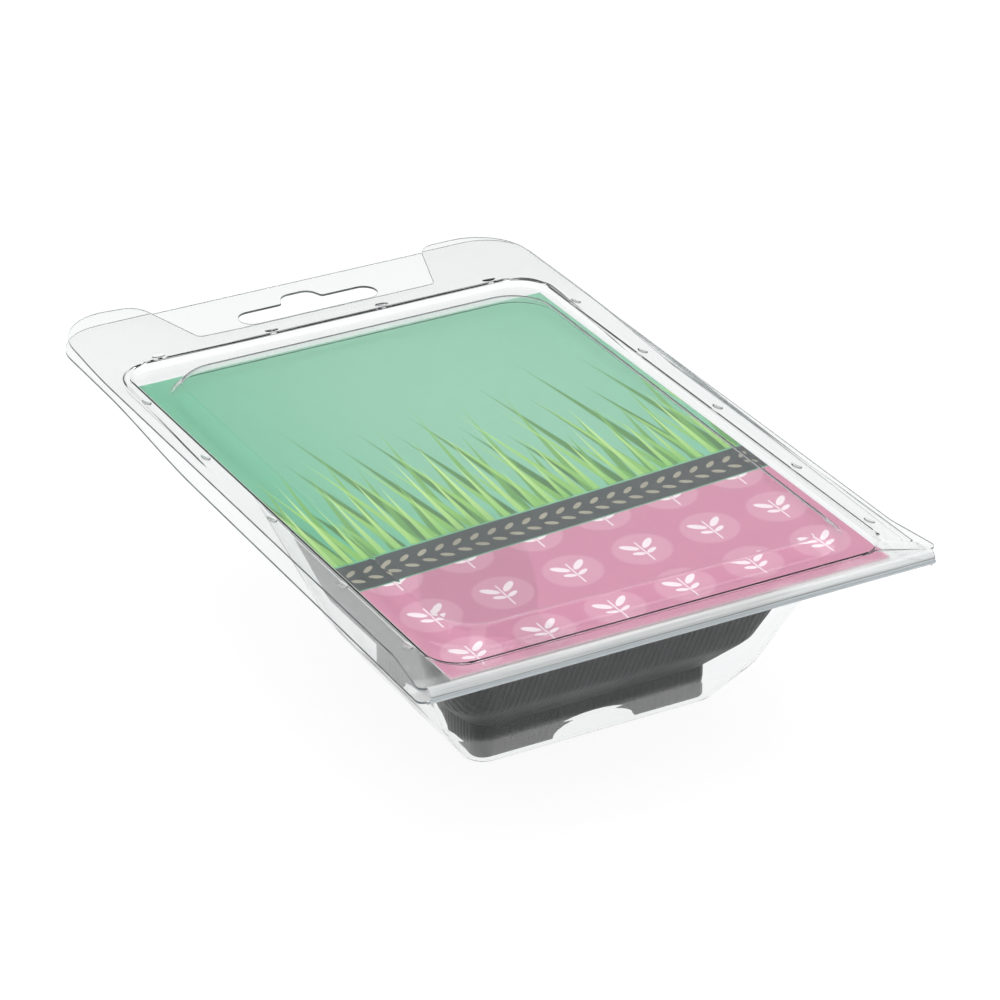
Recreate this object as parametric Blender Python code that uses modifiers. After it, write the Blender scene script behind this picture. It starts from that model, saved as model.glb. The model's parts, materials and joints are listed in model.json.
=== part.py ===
"""Clear clamshell hang pack that holds a printed card and a black growing tray.

The pack lies on its pocket: +Z is up, the living hinge runs along X at the near edge (-Y) and the hang tab
is at the far edge (+Y). The origin is under the middle of the pack, at the height of the pocket's underside.
"""

import math
from collections import namedtuple

import bmesh
import bpy

# Driving dimensions, in metres
PACK_WIDTH = 0.120
PACK_LENGTH = 0.1835
SHEET = 0.0005
POCKET_DEPTH = 0.0415
CARD_WIDTH = 0.102
CARD_LENGTH = 0.146
CARD_THICKNESS = 0.0004
FIT_GAP = 0.0003

# Heights, from the underside of the pocket
FLANGE_TOP = POCKET_DEPTH + SHEET
CARD_BOTTOM = FLANGE_TOP + FIT_GAP
CARD_TOP = CARD_BOTTOM + CARD_THICKNESS
LID_FLANGE_TOP = FLANGE_TOP + 0.0030
TAB_RISE = LID_FLANGE_TOP - SHEET - FIT_GAP - FLANGE_TOP
MOAT_TOP = CARD_TOP + FIT_GAP + SHEET + 0.0002
WINDOW_TOP = MOAT_TOP + 0.0040

# Places along Y, from the hinge's outer face at the near edge
NEAR = -PACK_LENGTH / 2
FLANGE_NEAR = NEAR + 0.0018
FAR = PACK_LENGTH / 2
CARD_NEAR = NEAR + 0.0056
POCKET_MIDDLE = NEAR + 0.061
SLOT_MIDDLE = NEAR + 0.1692
BACK_FAR = NEAR + 0.182
RISE_START = NEAR + 0.105
RISE_END = NEAR + 0.150
RISE_STEPS = 8

# Flange outlines
BACK_CORNER = 0.012
BACK_FAR_HALF_WIDTH = PACK_WIDTH / 2 - 0.0010
LID_HALF_WIDTH = PACK_WIDTH / 2 - 0.0020
LID_CUT_BACK = NEAR + 0.164
LID_TAPER_END = NEAR + 0.016
EAR_CORNER = 0.013
EAR_INNER_FOOT = 0.030
EAR_INNER_TIP = 0.0365
EAR_INNER_CORNER = 0.005
LID_TAPER_RADIUS = 0.020
HINGE_CORNER = 0.0015
HINGE_AXIS_Z = (FLANGE_TOP + LID_FLANGE_TOP - SHEET) / 2
HINGE_GAP = 0.0006
CURL_STEPS = 4

# Euro hole in the hang tab
SLOT_HALF_WIDTH = 0.0175
SLOT_HALF_HEIGHT = 0.0034
HUMP_HALF_WIDTH = 0.0044
HUMP_RISE = 0.0041
HUMP_SPREAD = 0.0008
HUMP_FOOT_RADIUS = 0.0010
HUMP_TOP_RADIUS = 0.0030
SLOT_STEPS = 4

# Forming of the sheet
BEND_STEPS = 3
LID_BEND = 0.0007
POCKET_BEND = 0.0016
POCKET_BEND_STEPS = 4
TRAY_BEND = 0.0012
WALL_STEPS = 4
CORNER_STEPS = 6
MOST_BEND_SHARE = 0.45
SHARP_ANGLE = 35

# Growing tray
TRAY_WALL = 0.0010
TRAY_FLOOR = 0.0085
TRAY_SHOULDER = 0.0180
TRAY_RIM_TOP = FLANGE_TOP - 0.003
FOOT_HALF_X = 0.0279
FOOT_HALF_Y = 0.0233
FOOT_CORNER = 0.003
ARCH_HALF_WIDTH = 0.010
ARCH_HEIGHT = 0.0036
ARCH_OVERREACH = 2.4
ARCH_SIDES = 24
FOOT_OVERLAP = TRAY_WALL * 0.6

# Snap nubs on the lid
NUB_LENGTH = 0.0034
NUB_WIDTH = 0.0018
NUB_HEIGHT = 0.0006
NUB_SINK = 0.00005
NUB_OFF = NUB_WIDTH * 0.95
NUBS_FAR = (-0.042, -0.014, 0.014, 0.042)
NUBS_SIDE = (0.018, 0.046, 0.078, 0.110, 0.140)

# Sachets
BAG_SIZE = (0.058, 0.048, 0.0185)
SEED_SIZE = (0.062, 0.048, 0.0075)
SEAL_FROM = 0.4
SEAL_THINNING = 0.45

Ring = namedtuple("Ring", "half_x near far radius height")


def centred(half_x, half_y, radius, height):
    """A ring round the middle of the pocket."""
    return Ring(half_x, POCKET_MIDDLE - half_y, POCKET_MIDDLE + half_y, radius, height)


# The pocket from the flat round its mouth down, as the inner face of the sheet
POCKET = (
    centred(0.0512, 0.0497, 0.0135, FLANGE_TOP),
    centred(0.0495, 0.0480, 0.012, FLANGE_TOP),
    centred(0.0368, 0.0338, 0.008, 0.0120),
    centred(0.0290, 0.0246, 0.004, SHEET),
    centred(0.0200, 0.0160, 0.003, SHEET),
)

# The lid from the flat round its recess to the window, as the outer face of the sheet
LID_RIM = Ring(0.0523, NEAR + 0.0068, NEAR + 0.158, 0.008, LID_FLANGE_TOP)
LID_STEPS = (
    Ring(0.0532, NEAR + 0.0059, NEAR + 0.1589, 0.0088, LID_FLANGE_TOP),
    LID_RIM,
    Ring(0.0515, NEAR + 0.0076, NEAR + 0.1572, 0.0075, MOAT_TOP),
    Ring(0.0482, NEAR + 0.0115, NEAR + 0.1492, 0.010, MOAT_TOP),
    Ring(0.0456, NEAR + 0.0146, NEAR + 0.1468, 0.010, WINDOW_TOP),
)

# The bed for the card, whose wall rises with the flange round it
BED = Ring(0.0531, NEAR + 0.0050, NEAR + 0.1589, 0.0085, FLANGE_TOP)
BED_WALL = 0.0007

# The tray from the edge of its rim down to its floor, as its inner face
TRAY = (
    centred(0.0470, 0.0450, 0.011, TRAY_RIM_TOP - 0.0016),
    centred(0.0470, 0.0450, 0.011, TRAY_RIM_TOP),
    centred(0.0444, 0.0424, 0.010, TRAY_RIM_TOP),
    centred(0.0363, 0.0322, 0.008, TRAY_SHOULDER),
    centred(0.0272, 0.0226, 0.0035, TRAY_FLOOR),
    centred(0.0200, 0.0154, 0.003, TRAY_FLOOR),
)


def clear_scene():
    for obj in list(bpy.data.objects):
        bpy.data.objects.remove(obj, do_unlink=True)


def keep_in(obj, collection):
    """Move the object to this collection alone."""
    for owner in obj.users_collection:
        owner.objects.unlink(obj)
    collection.objects.link(obj)


def new_collection(name):
    collection = bpy.data.collections.new(name)
    bpy.context.scene.collection.children.link(collection)
    return collection


def finish(name, color, roughness, alpha=1.0):
    """A Principled material in the part's own colour."""
    material = bpy.data.materials.new(name)
    material.use_nodes = True
    shader = material.node_tree.nodes["Principled BSDF"]
    shader.inputs["Base Color"].default_value = (*color, 1.0)
    shader.inputs["Roughness"].default_value = roughness
    shader.inputs["Metallic"].default_value = 0.0
    shader.inputs["Alpha"].default_value = alpha
    return material


def place(name, bm, collection, material):
    """Make an object of the bmesh, shaded smooth but for its sharp edges."""
    mesh = bpy.data.meshes.new(name)
    bm.to_mesh(mesh)
    bm.free()
    obj = bpy.data.objects.new(name, mesh)
    collection.objects.link(obj)
    mesh.materials.append(material)
    mesh.shade_smooth()
    mesh.set_sharp_from_angle(angle=math.radians(SHARP_ANGLE))
    return obj


def arc(centre, radius, start, end, steps):
    """Points along an arc in a plane, both ends included."""
    angles = [start + (end - start) * i / steps for i in range(steps + 1)]
    return [(centre[0] + radius * math.cos(a), centre[1] + radius * math.sin(a)) for a in angles]


def rounded_polygon(corners, steps=CORNER_STEPS):
    """Outline through corners given as (x, y, radius), each rounded by an arc that turns left or right."""
    points = []
    for i, (x, y, radius) in enumerate(corners):
        before = corners[i - 1]
        after = corners[(i + 1) % len(corners)]
        heading = math.atan2(y - before[1], x - before[0])
        leaving = math.atan2(after[1] - y, after[0] - x)
        turn = (leaving - heading + math.pi) % math.tau - math.pi
        side = math.copysign(math.pi / 2, turn)
        run = radius * math.tan(abs(turn) / 2)
        centre = (
            x - run * math.cos(heading) + radius * math.cos(heading + side),
            y - run * math.sin(heading) + radius * math.sin(heading + side),
        )
        points += arc(centre, radius, heading - side, heading - side + turn, steps)
    return points


def ring_points(ring):
    corners = [
        (ring.half_x, ring.near, ring.radius),
        (ring.half_x, ring.far, ring.radius),
        (-ring.half_x, ring.far, ring.radius),
        (-ring.half_x, ring.near, ring.radius),
    ]
    return [(x, y, ring.height) for x, y in rounded_polygon(corners)]


def smooth(share):
    """Ease from 0 to 1."""
    share = min(1.0, max(0.0, share))
    return share * share * (3 - 2 * share)


def flange_rise(y):
    """How far the back shell's flange stands above its near end, where it rises to meet the lid."""
    return TAB_RISE * smooth((y - RISE_START) / (RISE_END - RISE_START))


def with_stations(points):
    """The outline with points added along its long sides, where the flange rises."""
    stations = [RISE_START + (RISE_END - RISE_START) * i / RISE_STEPS for i in range(RISE_STEPS + 1)]
    result = []
    for (x, y), (next_x, next_y) in zip(points, points[1:] + points[:1]):
        result.append((x, y))
        low, high = sorted((y, next_y))
        if low < RISE_START and high > RISE_END:
            for station in stations if next_y > y else reversed(stations):
                share = (station - y) / (next_y - y)
                result.append((x + (next_x - x) * share, station))
    return result


def between(first, second, share):
    return Ring(*(a + (b - a) * share for a, b in zip(first, second)))


def softened(rings, bend, steps=BEND_STEPS):
    """The rings with each inner one turned into a small curve, as where warm sheet bends over a mould."""
    result = [rings[0]]
    for before, ring, after in zip(rings, rings[1:], rings[2:]):
        ends = []
        for other in (before, after):
            length = math.hypot(other.half_x - ring.half_x, other.height - ring.height)
            ends.append(between(ring, other, min(bend / length, MOST_BEND_SHARE)))
        for i in range(steps + 1):
            share = i / steps
            result.append(between(between(ends[0], ring, share), between(ring, ends[1], share), share))
    result.append(rings[-1])
    return result


def add_loop(bm, points):
    """A closed loop of edges through the points."""
    verts = [bm.verts.new(point) for point in points]
    edges = [bm.edges.new((a, b)) for a, b in zip(verts, verts[1:] + verts[:1])]
    return verts, edges


def loft(bm, rings):
    """Skin the rings one after another and close the last. Returns the first ring's edges."""
    loops = [add_loop(bm, ring_points(ring)) for ring in rings]
    for (outer, _), (inner, _) in zip(loops, loops[1:]):
        count = len(outer)
        for i in range(count):
            after = (i + 1) % count
            bm.faces.new((outer[i], outer[after], inner[after], inner[i]))
    bm.faces.new(loops[-1][0])
    return loops[0][1]


def fill_flange(bm, outline, holes, inner_edges):
    """Fill between the outline, the holes and the formed middle. Returns the near edge."""
    loops = [add_loop(bm, points) for points in (outline, *holes)]
    edges = list(inner_edges)
    for _, loop_edges in loops:
        edges += loop_edges
    bmesh.ops.triangle_fill(bm, edges=edges, use_beauty=True)
    return min(loops[0][1], key=lambda edge: sum(v.co.y for v in edge.verts) - edge.calc_length())


def bed_loop(share):
    """A loop of points round the card's bed: at 0 on its floor, and at 1 on the flange."""
    out = BED_WALL * share
    corners = [
        (BED.half_x + out, BED.near - out, BED.radius + out),
        (BED.half_x + out, BED.far + out, BED.radius + out),
    ]
    points = with_stations(rounded_polygon(mirrored(corners)))
    return [(x, y, FLANGE_TOP + flange_rise(y) * smooth(share)) for x, y in points]


def raise_bed_wall(bm):
    """The wall from the card's bed up to the flange round it. Returns its inner and its outer edges."""
    loops = [add_loop(bm, bed_loop(i / WALL_STEPS)) for i in range(WALL_STEPS + 1)]
    for (inner, _), (outer, _) in zip(loops, loops[1:]):
        count = len(inner)
        for i in range(count):
            after = (i + 1) % count
            bm.faces.new((inner[i], inner[after], outer[after], outer[i]))
    return loops[0][1], loops[-1][1]


def curl_edge(bm, edge, path):
    """Draw the near edge out along a path of (y, z) points."""
    for y, z in path:
        drawn = bmesh.ops.extrude_edge_only(bm, edges=[edge])["geom"]
        edge = next(item for item in drawn if isinstance(item, bmesh.types.BMEdge))
        for vert in edge.verts:
            vert.co.y = y
            vert.co.z = z


def face_up(bm, height):
    """Turn all faces the same way, so that the flat at this height faces up."""
    bmesh.ops.recalc_face_normals(bm, faces=bm.faces[:])
    flats = [f for f in bm.faces if all(abs(v.co.z - height) < 1e-6 for v in f.verts)]
    largest = max(flats, key=lambda face: face.calc_area())
    if largest.normal.z < 0:
        bmesh.ops.reverse_faces(bm, faces=bm.faces[:])


def solidify(obj, thickness):
    modifier = obj.modifiers.new("wall", "SOLIDIFY")
    modifier.thickness = thickness
    modifier.offset = -1.0
    modifier.use_even_offset = True
    return modifier


def mirrored(half):
    """Corners of the right half, near to far, and the same on the left, far to near."""
    return list(half) + [(-x, y, radius) for x, y, radius in reversed(half)]


def slot_outline():
    """Euro hole: a slot with a hump for the hook in the middle of its far side."""
    near = SLOT_MIDDLE - SLOT_HALF_HEIGHT
    far = SLOT_MIDDLE + SLOT_HALF_HEIGHT
    end_radius = SLOT_HALF_HEIGHT * 0.98
    half = [
        (SLOT_HALF_WIDTH, near, end_radius),
        (SLOT_HALF_WIDTH, far, end_radius),
        (HUMP_HALF_WIDTH + HUMP_SPREAD, far, HUMP_FOOT_RADIUS),
        (HUMP_HALF_WIDTH - HUMP_SPREAD, far + HUMP_RISE, HUMP_TOP_RADIUS),
    ]
    return rounded_polygon(mirrored(half), steps=SLOT_STEPS)


def on_flange(points):
    return [(x, y, FLANGE_TOP + flange_rise(y)) for x, y in points]


def build_back_shell(collection, material):
    """Flange with hang tab and euro hole, bed for the card, pocket, and the lower lip of the hinge."""
    bm = bmesh.new()
    mouth = loft(bm, softened(POCKET, POCKET_BEND, POCKET_BEND_STEPS))
    bed_edges, wall_edges = raise_bed_wall(bm)
    bmesh.ops.triangle_fill(bm, edges=list(mouth) + list(bed_edges), use_beauty=True)
    half = [(PACK_WIDTH / 2, FLANGE_NEAR, HINGE_CORNER), (BACK_FAR_HALF_WIDTH, BACK_FAR, BACK_CORNER)]
    outline = with_stations(rounded_polygon(mirrored(half)))
    near_edge = fill_flange(bm, on_flange(outline), [on_flange(slot_outline())], wall_edges)
    reach = FLANGE_NEAR - NEAR - SHEET
    rise = HINGE_AXIS_Z - HINGE_GAP / 2 - FLANGE_TOP
    turns = [math.pi / 2 * (i + 1) / CURL_STEPS for i in range(CURL_STEPS)]
    path = [(FLANGE_NEAR - reach * math.sin(a), FLANGE_TOP + rise * (1 - math.cos(a))) for a in turns]
    curl_edge(bm, near_edge, path)
    face_up(bm, FLANGE_TOP)
    shell = place("back_shell", bm, collection, material)
    solidify(shell, SHEET)
    return shell


def nub_places():
    """Middle and direction of each snap nub, on the flange just outside the rim of the recess."""
    places = [(x, LID_RIM.far + NUB_OFF, 0.0) for x in NUBS_FAR]
    for y in NUBS_SIDE:
        for side in (-1, 1):
            places.append((side * (LID_RIM.half_x + NUB_OFF), NEAR + y, math.pi / 2))
    return places


def add_nub(name, x, y, turn, nubs):
    """A low half-round button, sunk into the flange that it stands on."""
    bpy.ops.mesh.primitive_uv_sphere_add(segments=10, ring_count=6, radius=0.5)
    nub = bpy.context.object
    nub.name = name
    for vert in nub.data.vertices:
        vert.co.x *= NUB_LENGTH
        vert.co.y *= NUB_WIDTH
        vert.co.z *= 2 * NUB_HEIGHT
    nub.location = (x, y, LID_FLANGE_TOP - NUB_SINK)
    nub.rotation_euler.z = turn
    keep_in(nub, nubs)
    nub.hide_render = True
    nub.display_type = "WIRE"
    return nub


def build_front_shell(collection, material):
    """Lid: flange with ears, recess round the card, raised window, and the upper lip of the hinge."""
    bm = bmesh.new()
    rim = loft(bm, softened(LID_STEPS, LID_BEND))
    half = [
        (PACK_WIDTH / 2, FLANGE_NEAR, HINGE_CORNER),
        (LID_HALF_WIDTH, LID_TAPER_END, LID_TAPER_RADIUS),
        (LID_HALF_WIDTH, FAR, EAR_CORNER),
        (EAR_INNER_TIP, FAR, EAR_INNER_CORNER),
        (EAR_INNER_FOOT, LID_CUT_BACK, HINGE_CORNER),
    ]
    outline = [(x, y, LID_FLANGE_TOP) for x, y in rounded_polygon(mirrored(half))]
    near_edge = fill_flange(bm, outline, [], rim)
    reach = FLANGE_NEAR - NEAR
    drop = LID_FLANGE_TOP - HINGE_AXIS_Z - HINGE_GAP / 2
    turns = [math.pi / 2 * (i + 1) / CURL_STEPS for i in range(CURL_STEPS)]
    path = [(FLANGE_NEAR - reach * math.sin(a), LID_FLANGE_TOP - drop * (1 - math.cos(a))) for a in turns]
    curl_edge(bm, near_edge, path)
    face_up(bm, LID_FLANGE_TOP)
    shell = place("front_shell", bm, collection, material)
    solidify(shell, SHEET)
    nubs = new_collection("snap nubs")
    for i, (x, y, turn) in enumerate(nub_places()):
        add_nub(f"nub_{i + 1:02d}", x, y, turn, nubs)
    join = shell.modifiers.new("snap nubs", "BOOLEAN")
    join.operation = "UNION"
    join.operand_type = "COLLECTION"
    join.collection = nubs
    return shell


def box(name, size, middle, collection, material):
    bpy.ops.mesh.primitive_cube_add(size=1.0)
    obj = bpy.context.object
    obj.name = name
    for vert in obj.data.vertices:
        for axis in range(3):
            vert.co[axis] *= size[axis]
    obj.location = middle
    keep_in(obj, collection)
    obj.data.materials.append(material)
    return obj


def build_card(collection, material):
    """Printed card, flat between the shells."""
    middle = (0.0, CARD_NEAR + CARD_LENGTH / 2, (CARD_BOTTOM + CARD_TOP) / 2)
    return box("printed_card", (CARD_WIDTH, CARD_LENGTH, CARD_THICKNESS), middle, collection, material)


def block(name, ring, top, collection, material):
    """A closed block that stands on the ring and ends at the top."""
    bm = bmesh.new()
    edges = loft(bm, [ring._replace(height=top), ring])
    bmesh.ops.holes_fill(bm, edges=edges)
    bmesh.ops.recalc_face_normals(bm, faces=bm.faces[:])
    return place(name, bm, collection, material)


def build_tray(collection, material, cutters):
    """Black tray: rim with a lip, flared body, flat floor, and a foot with an arch in each side."""
    bm = bmesh.new()
    loft(bm, softened(TRAY, TRAY_BEND))
    face_up(bm, TRAY_FLOOR)
    tray = place("growing_tray", bm, collection, material)
    solidify(tray, TRAY_WALL)

    foot_bottom = SHEET + FIT_GAP
    outer = centred(FOOT_HALF_X, FOOT_HALF_Y, FOOT_CORNER, foot_bottom)
    inner = centred(
        FOOT_HALF_X - TRAY_WALL, FOOT_HALF_Y - TRAY_WALL, FOOT_CORNER - TRAY_WALL, foot_bottom - TRAY_WALL
    )
    foot_block = block("foot_block", outer, TRAY_FLOOR - TRAY_WALL + FOOT_OVERLAP, cutters, material)
    hollow_block = block("foot_hollow", inner, TRAY_FLOOR - TRAY_WALL, cutters, material)

    join = tray.modifiers.new("foot", "BOOLEAN")
    join.operation = "UNION"
    join.object = foot_block
    cut = tray.modifiers.new("hollow of the foot", "BOOLEAN")
    cut.operation = "DIFFERENCE"
    cut.object = hollow_block
    arches = (
        ("arch_near_to_far", 0.0, ARCH_OVERREACH * FOOT_HALF_Y),
        ("arch_side_to_side", math.pi / 2, ARCH_OVERREACH * FOOT_HALF_X),
    )
    for name, turn, length in arches:
        bpy.ops.mesh.primitive_cylinder_add(vertices=ARCH_SIDES, radius=1.0, depth=1.0)
        arch = bpy.context.object
        arch.name = name
        for vert in arch.data.vertices:
            x, y, z = vert.co
            vert.co = (x * ARCH_HALF_WIDTH, z * length, -y * ARCH_HEIGHT)
        arch.location = (0.0, POCKET_MIDDLE, foot_bottom)
        arch.rotation_euler.z = turn
        keep_in(arch, cutters)
        cut = tray.modifiers.new(name, "BOOLEAN")
        cut.operation = "DIFFERENCE"
        cut.object = arch
    for helper in cutters.objects:
        helper.hide_render = True
        helper.display_type = "WIRE"
    return tray


def build_pillow(name, size, middle, collection, material):
    """Soft sachet as a plain pillow: a cube caged down to rounded sides."""
    bpy.ops.mesh.primitive_cube_add(size=1.0)
    pillow = bpy.context.object
    pillow.name = name
    bm = bmesh.new()
    bm.from_mesh(pillow.data)
    bmesh.ops.subdivide_edges(bm, edges=bm.edges[:], cuts=2, use_grid_fill=True)
    for vert in bm.verts:
        for axis in range(3):
            vert.co[axis] *= size[axis]
        outward = max(abs(vert.co.x) / size[0], abs(vert.co.y) / size[1])
        if outward > SEAL_FROM:
            vert.co.z *= SEAL_THINNING
    bm.to_mesh(pillow.data)
    bm.free()
    pillow.location = middle
    smooth = pillow.modifiers.new("soft sides", "SUBSURF")
    smooth.levels = 2
    smooth.render_levels = 2
    keep_in(pillow, collection)
    pillow.data.materials.append(material)
    pillow.data.shade_smooth()
    return pillow


def build_sachets(collection, foil, film):
    """Bag of growing medium on the tray's floor, and the seed sachet on top of it."""
    bag_bottom = TRAY_FLOOR + FIT_GAP
    bag_middle = (0.0, POCKET_MIDDLE, bag_bottom + BAG_SIZE[2] / 2)
    build_pillow("growing_medium_bag", BAG_SIZE, bag_middle, collection, film)
    seed_bottom = bag_bottom + BAG_SIZE[2] + FIT_GAP
    seed_middle = (0.0, POCKET_MIDDLE, seed_bottom + SEED_SIZE[2] / 2)
    build_pillow("seed_sachet", SEED_SIZE, seed_middle, collection, foil)


def main():
    clear_scene()
    pack = new_collection("clamshell growing kit")
    cutters = new_collection("cutters")
    clear_sheet = finish("clear sheet", (0.90, 0.93, 0.92), 0.08, alpha=0.25)
    build_back_shell(pack, clear_sheet)
    build_front_shell(pack, clear_sheet)
    build_card(pack, finish("printed card", (0.22, 0.60, 0.42), 0.45))
    build_tray(pack, finish("black tray", (0.02, 0.02, 0.022), 0.35), cutters)
    build_sachets(pack, finish("seed foil", (0.75, 0.76, 0.78), 0.30), finish("bag film", (0.78, 0.74, 0.66), 0.25))


main()
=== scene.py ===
# %% [markdown]
# # A clear clamshell pack, its printed card and its growing tray
#
# The real object is a hang pack for a small growing kit. Two shells of thin clear sheet are joined by a
# living hinge, and hold a printed card. Under the card, a black tray with a bag of growing medium and a
# seed sachet sits in a deep pocket. The pack lies on that pocket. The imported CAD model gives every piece
# its place, and this lesson dresses it: finer sheet with real bends, clear plastic, print, black plastic
# and film.

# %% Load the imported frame
import json
import math
from collections import namedtuple

import bmesh
import bpy
from mathutils import Matrix, Vector, noise

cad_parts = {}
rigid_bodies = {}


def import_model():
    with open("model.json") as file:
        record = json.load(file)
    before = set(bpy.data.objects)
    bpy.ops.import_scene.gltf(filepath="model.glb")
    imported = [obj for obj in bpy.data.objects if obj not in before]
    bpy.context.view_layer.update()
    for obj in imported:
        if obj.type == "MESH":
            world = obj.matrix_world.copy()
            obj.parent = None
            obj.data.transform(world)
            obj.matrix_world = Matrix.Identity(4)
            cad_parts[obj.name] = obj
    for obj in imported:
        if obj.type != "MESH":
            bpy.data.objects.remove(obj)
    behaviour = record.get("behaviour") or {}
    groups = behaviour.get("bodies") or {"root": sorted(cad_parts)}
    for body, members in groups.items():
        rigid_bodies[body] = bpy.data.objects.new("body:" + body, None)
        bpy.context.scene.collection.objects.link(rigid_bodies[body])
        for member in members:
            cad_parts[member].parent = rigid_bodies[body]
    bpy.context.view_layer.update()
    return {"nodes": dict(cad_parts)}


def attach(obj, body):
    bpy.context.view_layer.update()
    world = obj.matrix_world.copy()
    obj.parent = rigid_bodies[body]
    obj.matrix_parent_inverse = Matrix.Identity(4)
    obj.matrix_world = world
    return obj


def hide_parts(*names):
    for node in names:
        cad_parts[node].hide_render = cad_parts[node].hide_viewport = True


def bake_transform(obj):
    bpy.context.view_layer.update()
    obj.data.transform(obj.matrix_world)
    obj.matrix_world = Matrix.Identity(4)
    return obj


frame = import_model()
print("nodes:", ", ".join(sorted(frame["nodes"])))

# %% [markdown]
# ## Camera, floor and light
#
# A product picture of clear plastic needs a bright floor behind it, a broad soft lamp above, and a room
# that is darker near the horizon. The sheet mirrors that part of the room towards the camera, so the
# horizon's level sets how hazy the window looks. A long lens keeps the sides of the pack nearly parallel.

# %% Camera
CAMERA_PLACE = (-0.3832, -0.70745, 0.4544)
CAMERA_LOOKS = (0.4274, 0.7740, -0.4671)
CAMERA_LENS = 151.2

camera_data = bpy.data.cameras.new("camera")
camera_data.lens = CAMERA_LENS
camera_data.sensor_width = 36.0
camera_data.clip_start = 0.02
camera_data.clip_end = 50.0
camera = bpy.data.objects.new("camera", camera_data)
bpy.context.scene.collection.objects.link(camera)
camera.location = CAMERA_PLACE
looking = Vector(CAMERA_LOOKS)
camera.rotation_euler = looking.to_track_quat("-Z", "Y").to_euler()
bpy.context.scene.camera = camera
print("camera elevation:", round(math.degrees(math.asin(-looking.normalized().z)), 1))


# %% [markdown]
# ## Shader maths as plain expressions
#
# A finish is a small graph of nodes. Written node by node it is hard to read, so a thin class wraps a
# socket and lets Python's own operators add Math nodes. Everything else goes through one method that
# takes the node's type, its settings and its sockets.

# %% Thread and Finish
class Thread:
    """A number, colour or vector on its way out of one node."""

    def __init__(self, finish, socket):
        self.finish = finish
        self.socket = socket

    def maths(self, operation, *values):
        return self.finish.node("ShaderNodeMath", {"operation": operation}, values)

    def __add__(self, other):
        return self.maths("ADD", self, other)

    def __radd__(self, other):
        return self.maths("ADD", other, self)

    def __sub__(self, other):
        return self.maths("SUBTRACT", self, other)

    def __rsub__(self, other):
        return self.maths("SUBTRACT", other, self)

    def __mul__(self, other):
        return self.maths("MULTIPLY", self, other)

    def __rmul__(self, other):
        return self.maths("MULTIPLY", other, self)

    def __truediv__(self, other):
        return self.maths("DIVIDE", self, other)

    def __pow__(self, other):
        return self.maths("POWER", self, other)

    def __abs__(self):
        return self.maths("ABSOLUTE", self)

    def floor(self):
        return self.maths("FLOOR", self)

    def fraction(self):
        return self.maths("FRACT", self)

    def sine(self):
        return self.maths("SINE", self)

    def least(self, other):
        return self.maths("MINIMUM", self, other)

    def most(self, other):
        return self.maths("MAXIMUM", self, other)

    def held(self):
        """The number kept between 0 and 1."""
        return self.finish.node("ShaderNodeClamp", {}, [self, 0.0, 1.0])


class Finish:
    """The nodes of a material or a world while they are being made."""

    def __init__(self, owner):
        owner.use_nodes = True
        self.owner = owner
        self.tree = owner.node_tree

    def node(self, kind, settings=None, sockets=(), output=0):
        """Adds a node: its settings first, then its sockets' values or links, by order or by name."""
        made = self.tree.nodes.new(kind)
        for name, value in (settings or {}).items():
            if name == "stops":
                self.set_stops(made.color_ramp, value)
            else:
                setattr(made, name, value)
        named = sockets.items() if isinstance(sockets, dict) else enumerate(sockets)
        for name, value in named:
            self.feed(made.inputs[name], value)
        return Thread(self, made.outputs[output])

    def feed(self, socket, value):
        if isinstance(value, Thread):
            self.tree.links.new(value.socket, socket)
        elif socket.type == "RGBA":
            socket.default_value = (*value, 1.0)
        else:
            socket.default_value = value

    def set_stops(self, ramp, stops):
        while len(ramp.elements) < len(stops):
            ramp.elements.new(1.0)
        for element, (position, color) in zip(ramp.elements, stops):
            element.position = position
            element.color = (*color, 1.0)

    def place(self):
        """Where a point of the surface is in the row frame: three threads, in metres."""
        where = self.node("ShaderNodeTexCoord", output="Object")
        parts = self.node("ShaderNodeSeparateXYZ", {}, [where])
        outputs = parts.socket.node.outputs
        return where, [Thread(self, outputs[axis]) for axis in range(3)]

    def cloud(self, where, scale, detail=2.0, roughness=0.5):
        """Noise from 0 to 1 with this many lumps to the metre."""
        sockets = {"Vector": where, "Scale": scale, "Detail": detail, "Roughness": roughness}
        return self.node("ShaderNodeTexNoise", {}, sockets)

    def tint(self, share, first, second):
        """A colour between two."""
        return self.node("ShaderNodeMix", {"data_type": "RGBA"}, {0: share, 6: first, 7: second}, 2)

    def relief(self, height, depth):
        """A bumped normal: height from 0 to 1 stands for this depth in metres."""
        return self.node("ShaderNodeBump", {}, {"Height": height, "Distance": depth, "Strength": 1.0})


def new_finish(name, **sockets):
    """A material with a Principled shader, and that shader's sockets by name."""
    finish = Finish(bpy.data.materials.new(name))
    shader = finish.tree.nodes["Principled BSDF"]
    for socket, value in sockets.items():
        finish.feed(shader.inputs[socket.replace("_", " ")], value)
    return finish, shader


# %% Floor, lamps and room
ROOM_LOW = 0.45
ROOM_HIGH = 0.66
ROOM_RISE = (0.35, 0.95)
ROOM_COLOR = (0.97, 0.985, 1.0)
FLOOR_GLOW = 0.93
FLOOR_COLOR = (0.10, 0.10, 0.10)
FLOOR_SIZE = 30.0
FLOOR_GAP = 0.0002

room = bpy.data.worlds.new("studio room")
bpy.context.scene.world = room
sky = Finish(room)
height = sky.node("ShaderNodeSeparateXYZ", {}, [sky.node("ShaderNodeTexCoord", output="Generated")], "Z")
steps = [height, *ROOM_RISE, ROOM_LOW, ROOM_HIGH]
level = sky.node("ShaderNodeMapRange", {"interpolation_type": "SMOOTHSTEP"}, steps)
background = room.node_tree.nodes["Background"].inputs
sky.feed(background["Strength"], level)
sky.feed(background["Color"], ROOM_COLOR)

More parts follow.
